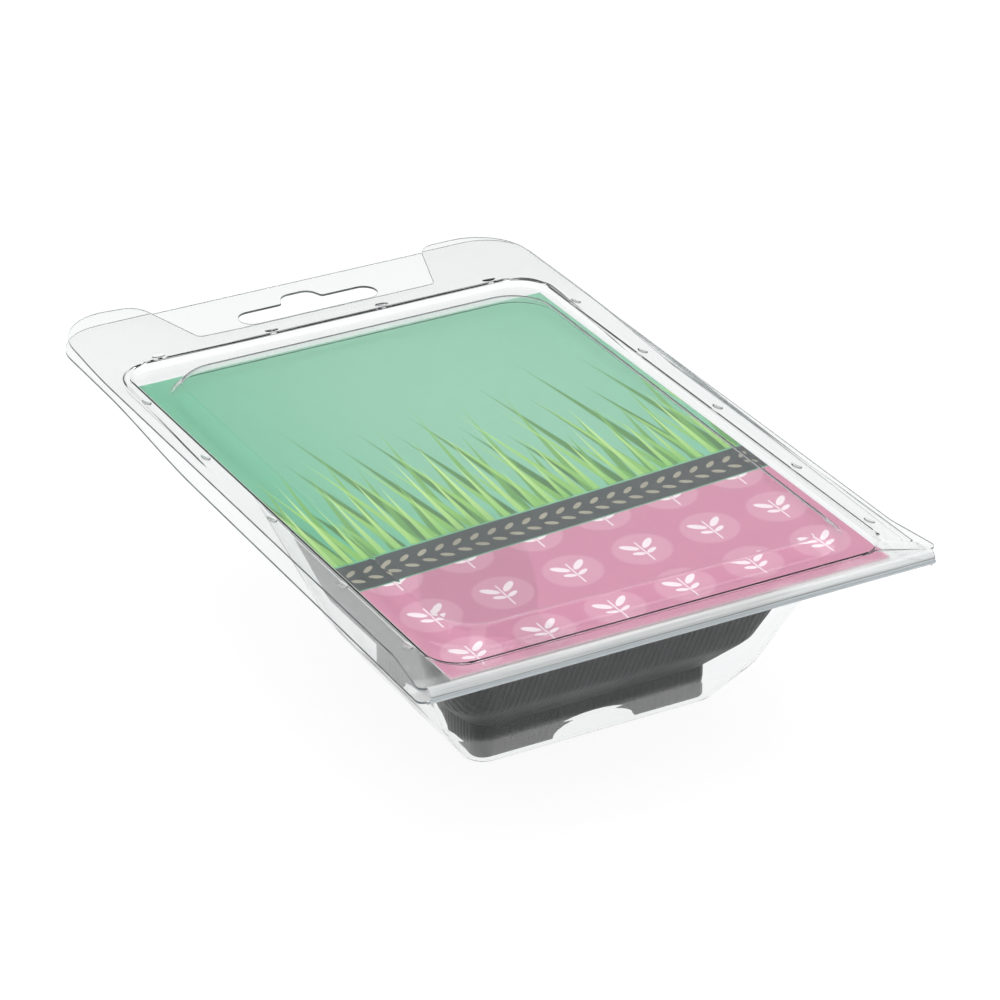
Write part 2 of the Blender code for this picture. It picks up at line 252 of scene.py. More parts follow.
floor_mesh = bpy.data.meshes.new("floor")
corners = [(x * FLOOR_SIZE / 2, y * FLOOR_SIZE / 2, 0) for x, y in ((-1, -1), (1, -1), (1, 1), (-1, 1))]
floor_mesh.from_pydata(corners, [], [(0, 1, 2, 3)])
floor = bpy.data.objects.new("floor", floor_mesh)
floor.location.z = -FLOOR_GAP
bpy.context.scene.collection.objects.link(floor)
floor_finish, _ = new_finish(
    "white light table",
    Base_Color=FLOOR_COLOR,
    Roughness=0.9,
    Specular_IOR_Level=0.0,
    Emission_Color=(1.0, 1.0, 1.0),
    Emission_Strength=FLOOR_GLOW,
)
floor_mesh.materials.append(floor_finish.owner)


def add_lamp(name, place, target, size, power):
    data = bpy.data.lights.new(name, "AREA")
    data.shape = "RECTANGLE"
    data.size, data.size_y = size
    data.energy = power
    lamp = bpy.data.objects.new(name, data)
    lamp.location = place
    lamp.rotation_euler = (Vector(target) - Vector(place)).to_track_quat("-Z", "Y").to_euler()
    bpy.context.scene.collection.objects.link(lamp)
    return lamp


add_lamp("overhead softbox", (0.1, 0.1, 1.3), (0, 0, 0), (1.6, 1.6), 12.0)
add_lamp("right softbox", (1.0, -0.2, 0.8), (0, 0, 0.03), (0.6, 0.9), 2.5)
bpy.context.scene.view_settings.view_transform = "Standard"
bpy.context.scene.cycles.transparent_max_bounces = 32
bpy.context.scene.cycles.max_bounces = 24
bpy.context.scene.cycles.transmission_bounces = 24
print("lamps:", [o.name for o in bpy.context.scene.objects if o.type == "LIGHT"])

# %% [markdown]
# ## The clear sheet's finish
#
# Both shells are drawn from clear sheet half a millimetre thick. It passes nearly all light and mirrors a
# little of the room. Real glass shading gives both, and a see-through shader alone would not. Its dark
# lines where it bends, where a wall is seen edge-on and where it is cut are painted shade: a darker colour
# put into the sheet there. Lamps would throw hard black shadows through glass, so for shadow rays a
# Transparent shader takes its place. A faint long swell in the normal stands for the slight warp of drawn
# sheet, and fine scuffs change the roughness.
#
# The pocket is drawn thinnest, and its lower index keeps the mirrored room off the black tray behind it.
# Near the hinge the sheet is worked and hazy. The fold itself was pressed and bent, and its finish is
# painted: its whitish streaks are painted highlights, it has painted shade under the flange, and a thin
# line of painted shade runs along the fold.

# %% Let the lamps through
SHADOW_COLOR = (0.94, 0.95, 0.95)


def let_lamps_through(finish, shader):
    """Swaps the shader for a Transparent one where a ray only asks for light."""
    shadow_ray = finish.node("ShaderNodeLightPath", output="Is Shadow Ray")
    passing = finish.node("ShaderNodeBsdfTransparent", {}, [SHADOW_COLOR])
    glass = Thread(finish, shader.outputs["BSDF"])
    mixed = finish.node("ShaderNodeMixShader", {}, [shadow_ray, glass, passing])
    output = finish.tree.nodes["Material Output"]
    finish.feed(output.inputs["Surface"], mixed)


# %% Clear sheet
SHEET_IOR = 1.32
POCKET_IOR = 1.13
SHEET_COLOR = (0.985, 0.995, 0.992)
POCKET_COLOR = (0.965, 0.978, 0.975)
# Colour and strength of the painted shade at tight bends and at walls seen edge-on:
BEND_SHADE_COLOR = (0.20, 0.235, 0.24)
BEND_SHADE_START = 0.40
BEND_SHADE_SHARE = 0.22
GRAZING_SHADE_START = 0.74
GRAZING_SHADE_SLOPE = 3.8
GRAZING_SHADE_SHARE = 0.38
SHEET_ROUGHNESS = 0.015
SCUFFS_PER_METRE = 900.0
SCUFF_START = 0.45
SCUFF_ROUGHNESS = 0.12
WORKED_SIDE = -0.0855
WORKED_SLOPE = 500.0
WORKED_ROUGHNESS = 0.20
SWELLS_PER_METRE = 38.0
SWELL_DEPTH = 0.00025


def make_clear_sheet(name, index, flat_color):
    finish, shader = new_finish(name, IOR=index, Transmission_Weight=1.0)
    where, (_, y, _) = finish.place()
    bend = finish.node("ShaderNodeAttribute", {"attribute_name": "bend"}, output="Fac")
    facing = finish.node("ShaderNodeLayerWeight", {}, {"Blend": 0.5}, "Facing")
    # Painted shade: the sheet's colour turns dark where it bends tightly and where it is seen edge-on.
    grazing_shade = ((facing - GRAZING_SHADE_START) * GRAZING_SHADE_SLOPE).held()
    dark = ((bend - BEND_SHADE_START) * BEND_SHADE_SHARE).held() + grazing_shade * GRAZING_SHADE_SHARE
    finish.feed(shader.inputs["Base Color"], finish.tint(dark.held(), flat_color, BEND_SHADE_COLOR))
    scuffs = finish.cloud(where, SCUFFS_PER_METRE, detail=4.0, roughness=0.7)
    worked = ((WORKED_SIDE - y) * WORKED_SLOPE).held()
    scuffed = (scuffs - SCUFF_START).held() * SCUFF_ROUGHNESS + SHEET_ROUGHNESS
    finish.feed(shader.inputs["Roughness"], scuffed + worked * WORKED_ROUGHNESS)
    swell = finish.cloud(where, SWELLS_PER_METRE, detail=1.0)
    finish.feed(shader.inputs["Normal"], finish.relief(swell, SWELL_DEPTH))
    let_lamps_through(finish, shader)
    return finish.owner


clear_sheet = make_clear_sheet("clear sheet", SHEET_IOR, SHEET_COLOR)
pocket_sheet = make_clear_sheet("sheet drawn thin in the pocket", POCKET_IOR, POCKET_COLOR)
print("sheets:", clear_sheet.name, "and", pocket_sheet.name)

# %% Cut edge
# Painted shade of the cut edge, and the paler nicks along it:
EDGE_PAINTED_SHADE = (0.10, 0.12, 0.125)
EDGE_PALE = (0.34, 0.38, 0.39)
NICKS_PER_METRE = 260.0


def make_cut_edge():
    finish, shader = new_finish("cut edge of the sheet", IOR=SHEET_IOR, Transmission_Weight=0.5)
    where, _ = finish.place()
    nicks = finish.cloud(where, NICKS_PER_METRE, detail=3.0)
    # Painted shade: the cut edge is coloured dark, broken by paler nicks.
    finish.feed(shader.inputs["Base Color"], finish.tint((nicks * 2.4 - 0.7).held(), EDGE_PAINTED_SHADE, EDGE_PALE))
    finish.feed(shader.inputs["Roughness"], nicks * 0.3 + 0.2)
    let_lamps_through(finish, shader)
    return finish.owner


cut_edge = make_cut_edge()
print("edge:", cut_edge.name)

# %% Creased sheet of the fold
# The streaks run from grey to a painted highlight; the next two are the painted shade under the flange and
# along the fold.
CREASE_LOW = (0.74, 0.76, 0.76)
CREASE_PAINTED_HIGHLIGHT = (0.97, 0.97, 0.96)
CREASE_PAINTED_SHADE = (0.58, 0.63, 0.66)
FOLD_PAINTED_SHADE = (0.22, 0.24, 0.24)
FOLD_HEIGHT = 0.0436
FOLD_HALF_WIDTH = 0.00012
FOLD_WANDER = 0.0004
FLANGE_UNDERSIDE = 0.0419
STREAKS_PER_METRE = 1500.0
STREAK_SHORTENING = 0.02
BUCKLES_PER_METRE = 90.0
BUCKLE_DEPTH = 0.0005


def make_creased_sheet():
    """Whitish streaks of painted highlight along the fold, painted shade under the flange, and a thin line
    of painted shade at the fold itself.
    """
    finish, shader = new_finish("creased sheet", IOR=SHEET_IOR, Transmission_Weight=0.55)
    where, (x, y, z) = finish.place()
    stretched = finish.node("ShaderNodeCombineXYZ", {}, [x * STREAK_SHORTENING, y, z])
    streaks = finish.cloud(stretched, STREAKS_PER_METRE)
    # Painted highlight: the streaks turn whitish along the fold.
    color = finish.tint(((streaks - 0.35) * 3.0).held(), CREASE_LOW, CREASE_PAINTED_HIGHLIGHT)
    # Painted shade: the sheet is greyer under the flange.
    under = ((FOLD_HEIGHT - z) * 2500.0).held() * ((z - FLANGE_UNDERSIDE) * 3000.0).held()
    color = finish.tint(under * 0.75, color, CREASE_PAINTED_SHADE)
    # Painted shade: a thin dark line along the fold.
    off_fold = abs(z - FOLD_HEIGHT + (streaks - 0.5) * FOLD_WANDER)
    fold = ((FOLD_HALF_WIDTH - off_fold) * 12000.0).held()
    color = finish.tint(fold * 0.8, color, FOLD_PAINTED_SHADE)
    finish.feed(shader.inputs["Base Color"], color)
    finish.feed(shader.inputs["Roughness"], streaks * 0.2 + 0.08)
    buckles = finish.cloud(where, BUCKLES_PER_METRE)
    finish.feed(shader.inputs["Normal"], finish.relief(buckles, BUCKLE_DEPTH))
    let_lamps_through(finish, shader)
    return finish.owner


creased_sheet = make_creased_sheet()
print("fold:", creased_sheet.name)

# %% [markdown]
# ## Drawing a sheet over a mould
#
# Thermoformed sheet follows a mould as a flat flange with steps pressed into it. Each step is a rounded
# rectangle at some height, which is called a ring here, and the wall between two rings is a loft. The
# same rings made the CAD solids, and finer arcs on them make the corners and bends smooth up close.
# Bevels on a block could round the steps too, but rings keep each radius of the mould as a plain number.

# %% Sizes of the pack, in metres
PACK_WIDTH = 0.120
PACK_LENGTH = 0.1835
SHEET = 0.0005
FLANGE_TOP = 0.0420
CARD_BOTTOM = 0.0423
CARD_THICKNESS = 0.0004
LID_FLANGE_TOP = 0.0450
TAB_RISE = 0.0022
MOAT_TOP = 0.0437
WINDOW_TOP = 0.0477
NEAR = -PACK_LENGTH / 2
FAR = PACK_LENGTH / 2
FLANGE_NEAR = NEAR + 0.0018
POCKET_MIDDLE = NEAR + 0.061
SLOT_MIDDLE = NEAR + 0.1692
BACK_FAR = NEAR + 0.182
RISE_START = NEAR + 0.105
RISE_END = NEAR + 0.150
RISE_STEPS = 20
HINGE_AXIS_Z = 0.04325
HINGE_GAP = 0.0006

print("pack in mm:", round(1000 * PACK_WIDTH, 1), "by", round(1000 * PACK_LENGTH, 1))

# %% A ring
Ring = namedtuple("Ring", "half_x near far radius height")


def centred(half_x, half_y, radius, height):
    """A ring round the middle of the pocket."""
    return Ring(half_x, POCKET_MIDDLE - half_y, POCKET_MIDDLE + half_y, radius, height)


# %% Outlines and rings
CORNER_STEPS = 14


def arc(centre, radius, start, end, steps):
    angles = [start + (end - start) * i / steps for i in range(steps + 1)]
    return [(centre[0] + radius * math.cos(a), centre[1] + radius * math.sin(a)) for a in angles]


def rounded_outline(corners, steps=CORNER_STEPS):
    """Points through corners given as (x, y, radius), each rounded to the left or to the right."""
    points = []
    for i, (x, y, radius) in enumerate(corners):
        before = corners[i - 1]
        after = corners[(i + 1) % len(corners)]
        heading = math.atan2(y - before[1], x - before[0])
        leaving = math.atan2(after[1] - y, after[0] - x)
        turn = (leaving - heading + math.pi) % math.tau - math.pi
        side = math.copysign(math.pi / 2, turn)
        run = radius * math.tan(abs(turn) / 2)
        centre = (
            x - run * math.cos(heading) + radius * math.cos(heading + side),
            y - run * math.sin(heading) + radius * math.sin(heading + side),
        )
        points += arc(centre, radius, heading - side, heading - side + turn, steps)
    return points


def ring_points(ring):
    corners = [
        (ring.half_x, ring.near, ring.radius),
        (ring.half_x, ring.far, ring.radius),
        (-ring.half_x, ring.far, ring.radius),
        (-ring.half_x, ring.near, ring.radius),
    ]
    return [(x, y, ring.height) for x, y in rounded_outline(corners)]


def between(first, second, share):
    return Ring(*(a + (b - a) * share for a, b in zip(first, second)))


def softened(rings, bend, steps):
    """The rings with each inner one turned into a small curve."""
    result = [rings[0]]
    for before, ring, after in zip(rings, rings[1:], rings[2:]):
        ends = []
        for other in (before, after):
            length = math.hypot(other.half_x - ring.half_x, other.height - ring.height)
            ends.append(between(ring, other, min(bend / length, 0.45)))
        for i in range(steps + 1):
            share = i / steps
            result.append(between(between(ends[0], ring, share), between(ring, ends[1], share), share))
    result.append(rings[-1])
    return result


def mirrored(half):
    """Corners of the right half, near to far, and the same on the left, far to near."""
    return list(half) + [(-x, y, radius) for x, y, radius in reversed(half)]


# %% Sheet from an outline, holes and rings
CREASED = 2


def add_loop(bm, points):
    """A closed loop of edges through the points."""
    verts = [bm.verts.new(point) for point in points]
    edges = [bm.edges.new((a, b)) for a, b in zip(verts, verts[1:] + verts[:1])]
    return verts, edges


def loft(bm, rings):
    """Skins the rings one after another and closes the last. Returns the first ring's edges."""
    loops = [add_loop(bm, ring_points(ring)) for ring in rings]
    for (outer, _), (inner, _) in zip(loops, loops[1:]):
        count = len(outer)
        for i in range(count):
            after = (i + 1) % count
            bm.faces.new((outer[i], outer[after], inner[after], inner[i]))
    bm.faces.new(loops[-1][0])
    return loops[0][1]


def fill_flange(bm, outline, holes, inner_edges):
    """Fills between the outline, the holes and the formed middle. Returns the near edge."""
    loops = [add_loop(bm, points) for points in (outline, *holes)]
    edges = list(inner_edges)
    for _, loop_edges in loops:
        edges += loop_edges
    bmesh.ops.triangle_fill(bm, edges=edges, use_beauty=True)
    return min(loops[0][1], key=lambda edge: sum(v.co.y for v in edge.verts) - edge.calc_length())


def draw_out(bm, edge, path):
    """Draws the near edge out along a path of (y, z) points, as the lip of the hinge."""
    for y, z in path:
        drawn = bmesh.ops.extrude_edge_only(bm, edges=[edge])["geom"]
        edge = next(item for item in drawn if isinstance(item, bmesh.types.BMEdge))
        edge.link_faces[0].material_index = CREASED
        for vert in edge.verts:
            vert.co.y = y
            vert.co.z = z


def face_up(bm, height):
    """Turns all faces the same way, with the flat ones at this height facing up."""
    bmesh.ops.recalc_face_normals(bm, faces=bm.faces[:])
    flats = [f for f in bm.faces if all(abs(v.co.z - height) < 1e-6 for v in f.verts)]
    if max(flats, key=lambda face: face.calc_area()).normal.z < 0:
        bmesh.ops.reverse_faces(bm, faces=bm.faces[:])


# %% Pieces, thickness and bends
SHARP_ANGLE = 35


def new_piece(name, bm, *materials, sharp=SHARP_ANGLE):
    """An object of the bmesh, shaded smooth but for its sharp edges."""
    mesh = bpy.data.meshes.new(name)
    bm.to_mesh(mesh)
    bm.free()
    piece = bpy.data.objects.new(name, mesh)
    bpy.context.scene.collection.objects.link(piece)
    for material in materials:
        mesh.materials.append(material)
    shade(piece, sharp)
    return piece


def shade(piece, sharp):
    piece.data.shade_smooth()
    piece.data.set_sharp_from_angle(angle=math.radians(sharp))


def thicken(piece, thickness):
    wall = piece.modifiers.new("thickness of the sheet", "SOLIDIFY")
    wall.thickness = thickness
    wall.offset = -1.0
    wall.use_even_offset = True
    wall.material_offset_rim = 1
    return wall


TIGHTEST_BEND = 0.0006
SHORTEST_EDGE = 0.0007


# The bend written here sets where the clear sheet gets its painted shade.
def mark_bends(piece):
    """Writes how tightly the sheet bends at each point: 0 where it is flat, 1 at the tightest radius.

    Edges shorter than the shortest belong to nubs and to the ends of bends, which get no painted shade.
    """
    bm = bmesh.new()
    bm.from_mesh(piece.data)
    layer = bm.verts.layers.float.new("bend")
    for edge in bm.edges:
        if len(edge.link_faces) != 2 or not edge.smooth or edge.calc_length() < SHORTEST_EDGE:
            continue
        width = sum(face.calc_area() for face in edge.link_faces) / (2 * edge.calc_length())
        tightness = min(1.0, edge.calc_face_angle() / max(width, 1e-6) * TIGHTEST_BEND)
        for vert in edge.verts:
            vert[layer] = max(vert[layer], tightness)
    bm.to_mesh(piece.data)
    bm.free()


def settle(piece, lined=True):
    """Turns the modifiers into plain mesh, marks its bends for the painted shade where lined, and keeps
    flat sheet flat.
    """
    graph = bpy.context.evaluated_depsgraph_get()
    made = bpy.data.meshes.new_from_object(piece.evaluated_get(graph), depsgraph=graph)
    made.name = piece.name
    piece.modifiers.clear()
    piece.data = made
    shade(piece, SHARP_ANGLE)
    if lined:
        mark_bends(piece)
    even = piece.modifiers.new("flat faces rule", "WEIGHTED_NORMAL")
    even.keep_sharp = True
    even.weight = 100


# %% [markdown]
# ## The back shell
#
# The back shell is the flat flange with the hang tab and its euro hole, a shallow bed for the card, and
# the deep pocket that the pack lies on. Towards the tab the flange climbs two millimetres to meet the
# lid, while the bed stays level. The near edge curls up into the lower lip of the hinge. Solids could be
# cut out of each other for this, but one sheet of faces is what was really drawn. So one bmesh holds it
# all: the pocket is lofted, the flange is filled round it, and Solidify gives it half a millimetre.

# %% Flange, bed and euro hole
BED_WALL = 0.0007
BED = Ring(0.0531, NEAR + 0.0050, NEAR + 0.1589, 0.0085, FLANGE_TOP)
SLOT_HALF_WIDTH = 0.0175
SLOT_HALF_HEIGHT = 0.0034
HUMP_HALF_WIDTH = 0.0044
HUMP_RISE = 0.0041
HUMP_SPREAD = 0.0008
HUMP_FOOT_RADIUS = 0.0010
HUMP_TOP_RADIUS = 0.0030
CURL_STEPS = 8


def smooth(share):
    """Ease from 0 to 1."""
    share = min(1.0, max(0.0, share))
    return share * share * (3 - 2 * share)


def flange_rise(y):
    """How far the back shell's flange stands above its near end, where it rises to meet the lid."""
    return TAB_RISE * smooth((y - RISE_START) / (RISE_END - RISE_START))


def on_flange(points):
    return [(x, y, FLANGE_TOP + flange_rise(y)) for x, y in points]


def with_stations(points):
    """The outline with points added along its long sides, where the flange rises."""
    stations = [RISE_START + (RISE_END - RISE_START) * i / RISE_STEPS for i in range(RISE_STEPS + 1)]
    result = []
    for (x, y), (next_x, next_y) in zip(points, points[1:] + points[:1]):
        result.append((x, y))
        low, high = sorted((y, next_y))
        if low < RISE_START and high > RISE_END:
            for station in stations if next_y > y else reversed(stations):
                share = (station - y) / (next_y - y)
                result.append((x + (next_x - x) * share, station))
    return result


def bed_loop(share):
    """A loop of points round the card's bed: at 0 on its floor, and at 1 on the flange."""
    out = BED_WALL * share
    corners = [
        (BED.half_x + out, BED.near - out, BED.radius + out),
        (BED.half_x + out, BED.far + out, BED.radius + out),
    ]
    points = with_stations(rounded_outline(mirrored(corners)))
    return [(x, y, FLANGE_TOP + flange_rise(y) * smooth(share)) for x, y in points]


def slot_outline():
    """Euro hole: a slot with a hump for the hook in the middle of its far side."""
    near = SLOT_MIDDLE - SLOT_HALF_HEIGHT
    far = SLOT_MIDDLE + SLOT_HALF_HEIGHT
    end_radius = SLOT_HALF_HEIGHT * 0.98
    half = [
        (SLOT_HALF_WIDTH, near, end_radius),
        (SLOT_HALF_WIDTH, far, end_radius),
        (HUMP_HALF_WIDTH + HUMP_SPREAD, far, HUMP_FOOT_RADIUS),
        (HUMP_HALF_WIDTH - HUMP_SPREAD, far + HUMP_RISE, HUMP_TOP_RADIUS),
    ]
    return rounded_outline(mirrored(half), steps=8)


def lip(reach, climb):
    """The quarter round by which a flange turns into the hinge: (y, z) points, from the flange on."""
    turns = [math.pi / 2 * (i + 1) / CURL_STEPS for i in range(CURL_STEPS)]
    return [(FLANGE_NEAR - reach * math.sin(a), climb * (1 - math.cos(a))) for a in turns]


print("climb of the flange in mm:", round(1000 * flange_rise(BACK_FAR), 1))

# %% Back shell
DRAWN = 3
BACK_CORNER = 0.012
BACK_FAR_HALF_WIDTH = PACK_WIDTH / 2 - 0.0010
HINGE_CORNER = 0.0015
POCKET_BEND = 0.0016
POCKET = (
    centred(0.0512, 0.0497, 0.0135, FLANGE_TOP),
    centred(0.0495, 0.0480, 0.012, FLANGE_TOP),
    centred(0.0368, 0.0338, 0.008, 0.0120),
    centred(0.0290, 0.0246, 0.004, SHEET),
    centred(0.0200, 0.0160, 0.003, SHEET),
)
WALL_STEPS = 8


def make_back_shell():
    bm = bmesh.new()
    mouth = loft(bm, softened(POCKET, POCKET_BEND, 6))
    for face in bm.faces:
        face.material_index = DRAWN
    walls = [add_loop(bm, bed_loop(i / WALL_STEPS)) for i in range(WALL_STEPS + 1)]
    for (inner, _), (outer, _) in zip(walls, walls[1:]):
        for i in range(len(inner)):
            after = (i + 1) % len(inner)
            bm.faces.new((inner[i], inner[after], outer[after], outer[i]))
    bmesh.ops.triangle_fill(bm, edges=list(mouth) + walls[0][1], use_beauty=True)
    half = [(PACK_WIDTH / 2, FLANGE_NEAR, HINGE_CORNER), (BACK_FAR_HALF_WIDTH, BACK_FAR, BACK_CORNER)]
    outline = on_flange(with_stations(rounded_outline(mirrored(half))))
    near_edge = fill_flange(bm, outline, [on_flange(slot_outline())], walls[-1][1])
    climb = HINGE_AXIS_Z - HINGE_GAP / 2 - FLANGE_TOP
    draw_out(bm, near_edge, [(y, FLANGE_TOP + z) for y, z in lip(FLANGE_NEAR - NEAR - SHEET, climb)])
    face_up(bm, FLANGE_TOP)
    shell = new_piece("clear_back_shell", bm, clear_sheet, cut_edge, creased_sheet, pocket_sheet)
    thicken(shell, SHEET)
    settle(shell, lined=False)
    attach(shell, "pack")
    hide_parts("back_shell")
    return shell


back_shell = make_back_shell()
print("back shell:", len(back_shell.data.polygons), "faces")

# %% [markdown]
# ## The front shell
#
# The lid has a flat flange with two ears, a shallow moat round the card, and a window that is raised
# again in its middle. It is drawn in the same way as the back shell. A handled pack is never quite flat,
# so one ear has sprung up a little and the window dips towards one corner. A wide face has no points to
# bend at, so the flange is first scored with parallel cuts. Small nubs snap the lid to the back shell.
# They are joined on with a Boolean, so that the shell stays one closed body.

# %% Sizes of the lid
LID_HALF_WIDTH = PACK_WIDTH / 2 - 0.0020
LID_CUT_BACK = NEAR + 0.164
LID_TAPER_END = NEAR + 0.016
EAR_CORNER = 0.013
EAR_INNER_FOOT = 0.030
EAR_INNER_TIP = 0.0365
EAR_INNER_CORNER = 0.005
LID_TAPER_RADIUS = 0.020
LID_BEND = 0.0007
LID_RIM = Ring(0.0523, NEAR + 0.0068, NEAR + 0.158, 0.008, LID_FLANGE_TOP)
LID_STEPS = (
    Ring(0.0532, NEAR + 0.0059, NEAR + 0.1589, 0.0088, LID_FLANGE_TOP),
    LID_RIM,
    Ring(0.0515, NEAR + 0.0076, NEAR + 0.1572, 0.0075, MOAT_TOP),
    Ring(0.0482, NEAR + 0.0115, NEAR + 0.1492, 0.010, MOAT_TOP),
    Ring(0.0456, NEAR + 0.0146, NEAR + 0.1468, 0.010, WINDOW_TOP),
    Ring(0.0420, NEAR + 0.0182, NEAR + 0.1432, 0.0075, WINDOW_TOP),
)
print("rise of the window in mm:", round(1000 * (WINDOW_TOP - LID_FLANGE_TOP), 1))

# %% Spring of the lid
EAR_LIFT = 0.0018
EAR_BEND_START = LID_CUT_BACK - 0.014
EAR_BEND_INNER = 0.016
EAR_BEND_LENGTH = 0.034
EAR_SCORES_Y = (EAR_BEND_START, 0.0032, 13)
EAR_SCORES_X = (-0.0565, 0.0034, 12)
WINDOW_DIP = 0.0004
CORNER_DIP = 0.0010
DIP_START_X = -0.045
DIP_LENGTH_X = 0.09
DIP_START_Y = 0.055
DIP_LENGTH_Y = 0.13


def score(bm, axis, start, step, count):
    """Cuts the sheet along parallel planes, so that it can bend between them."""
    normal = Vector((0.0, 0.0, 0.0))
    normal[axis] = 1.0
    for i in range(count):
        geometry = bm.verts[:] + bm.edges[:] + bm.faces[:]
        place = normal * (start + step * i)
        bmesh.ops.bisect_plane(bm, geom=geometry, dist=1e-7, plane_co=place, plane_no=normal)


def spring(x, y, z):
    """How far the lid has sprung at this point: one ear lifts, and the window dips towards one corner."""
    bent = smooth((y - EAR_BEND_START) / EAR_BEND_LENGTH)
    ear = EAR_LIFT * bent * smooth((-x - EAR_BEND_INNER) / EAR_BEND_LENGTH)
    raised = max(0.0, z - MOAT_TOP) / (WINDOW_TOP - MOAT_TOP)
    inside = 1.0 if LID_RIM.near < y < LID_RIM.far and abs(x) < LID_RIM.half_x else 0.0
    corner = smooth((x - DIP_START_X) / DIP_LENGTH_X) * smooth((DIP_START_Y - y) / DIP_LENGTH_Y)
    return ear - inside * raised * (WINDOW_DIP + CORNER_DIP * corner)


# %% Front shell
NUB_LENGTH = 0.0034
NUB_WIDTH = 0.0018
NUB_HEIGHT = 0.00045
NUB_SINK = 0.00005
NUB_OFF = NUB_WIDTH * 0.95
NUBS_FAR = (-0.042, -0.014, 0.014, 0.042)
NUBS_SIDE = (0.018, 0.046, 0.078, 0.110, 0.140)


def make_nub(name, x, y, turn):
    """A low half-round button, sunk a little into the flange, hidden but for the Boolean."""
    bm = bmesh.new()
    bmesh.ops.create_uvsphere(bm, u_segments=20, v_segments=12, radius=0.5)
    size = Matrix.Diagonal((NUB_LENGTH, NUB_WIDTH, 2 * NUB_HEIGHT, 1.0))
    spot = Matrix.Translation((x, y, LID_FLANGE_TOP - NUB_SINK))
    bm.transform(spot @ Matrix.Rotation(turn, 4, "Z") @ size)
    nub = new_piece(name, bm, clear_sheet, sharp=180)
    bpy.context.scene.collection.objects.unlink(nub)
    nub.hide_render = True
    return nub


def make_front_shell():
    bm = bmesh.new()
    rim = loft(bm, softened(LID_STEPS, LID_BEND, 6))
    half = [
        (PACK_WIDTH / 2, FLANGE_NEAR, HINGE_CORNER),
        (LID_HALF_WIDTH, LID_TAPER_END, LID_TAPER_RADIUS),
        (LID_HALF_WIDTH, FAR, EAR_CORNER),
        (EAR_INNER_TIP, FAR, EAR_INNER_CORNER),
        (EAR_INNER_FOOT, LID_CUT_BACK, HINGE_CORNER),
    ]
    outline = [(x, y, LID_FLANGE_TOP) for x, y in rounded_outline(mirrored(half))]
    near_edge = fill_flange(bm, outline, [], rim)
    drop = LID_FLANGE_TOP - HINGE_AXIS_Z - HINGE_GAP / 2
    draw_out(bm, near_edge, [(y, LID_FLANGE_TOP + z) for y, z in lip(FLANGE_NEAR - NEAR, -drop)])
    face_up(bm, LID_FLANGE_TOP)
    score(bm, 1, *EAR_SCORES_Y)
    score(bm, 0, *EAR_SCORES_X)
    for vert in bm.verts:
        vert.co.z += spring(*vert.co)
    shell = new_piece("clear_front_shell", bm, clear_sheet, cut_edge, creased_sheet)
    thicken(shell, SHEET)
    places = [(x, LID_RIM.far + NUB_OFF, 0.0) for x in NUBS_FAR]
    for side in (-1, 1):
        places += [(side * (LID_RIM.half_x + NUB_OFF), NEAR + y, math.pi / 2) for y in NUBS_SIDE]
    nubs = bpy.data.collections.new("snap nubs")
    bpy.context.scene.collection.children.link(nubs)
    for i, (x, y, turn) in enumerate(places):
        nubs.objects.link(make_nub(f"nub_{i + 1:02d}", x, y, turn))
    join = shell.modifiers.new("snap nubs", "BOOLEAN")
    join.operation = "UNION"
    join.operand_type = "COLLECTION"
    join.collection = nubs
    settle(shell)
    for nub in list(nubs.objects):
        bpy.data.objects.remove(nub, do_unlink=True)
    bpy.data.collections.remove(nubs)
    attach(shell, "lid")
    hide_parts("front_shell")
    return shell


front_shell = make_front_shell()
print("front shell:", len(front_shell.data.polygons), "faces")

# %% [markdown]
# ## The living hinge
#
# The two shells are one sheet, and the fold between them is the hinge. Each shell's lip stops just short
# of the fold's line, and a narrow strip, bowed a little outward, closes the gap. The strip is not attached
# to either shell.

# %% Hinge strip
STRIP_REACH = 0.0007
STRIP_THICKNESS = 0.0004
STRIP_STEPS = 12
STRIP_BOW = 0.00012
STRIP_INSET = 0.00002


def make_hinge_strip():
    bm = bmesh.new()
    half_width = PACK_WIDTH / 2 - 1.2 * HINGE_CORNER
    rows = []
    for i in range(STRIP_STEPS + 1):
        share = 2 * i / STRIP_STEPS - 1
        bow = STRIP_BOW * (1 - share * share)
        y = NEAR + STRIP_INSET - bow
        z = HINGE_AXIS_Z + STRIP_REACH * share
        rows.append([bm.verts.new((x, y, z)) for x in (-half_width, half_width)])
    for low, high in zip(rows, rows[1:]):
        bm.faces.new((low[0], low[1], high[1], high[0]))
    bmesh.ops.recalc_face_normals(bm, faces=bm.faces[:])
    if bm.faces[:][0].normal.y > 0:
        bmesh.ops.reverse_faces(bm, faces=bm.faces[:])
    strip = new_piece("hinge_strip", bm, creased_sheet, creased_sheet)
    thicken(strip, STRIP_THICKNESS)
    settle(strip)
    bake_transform(strip)
    return strip


hinge_strip = make_hinge_strip()
print("hinge strip:", len(hinge_strip.data.polygons), "faces")

# %% [markdown]
# ## The printed card
#
# The card is stiff board with a satin print on its front and bare board on its back and edges. The
# print here is a plain design of this lesson's own: a mint field, a charcoal band and a pink field.
# Grass blades grow up from the band, grains lie on it, and discs with sprouts fill the field below it. A
# picture could be mapped on, but each motif is a little maths on the surface's own place, so it stays
# sharp at any distance.

# %% Card board
BOARD_DARK = (0.70, 0.70, 0.67)
BOARD_PALE = (0.84, 0.84, 0.82)


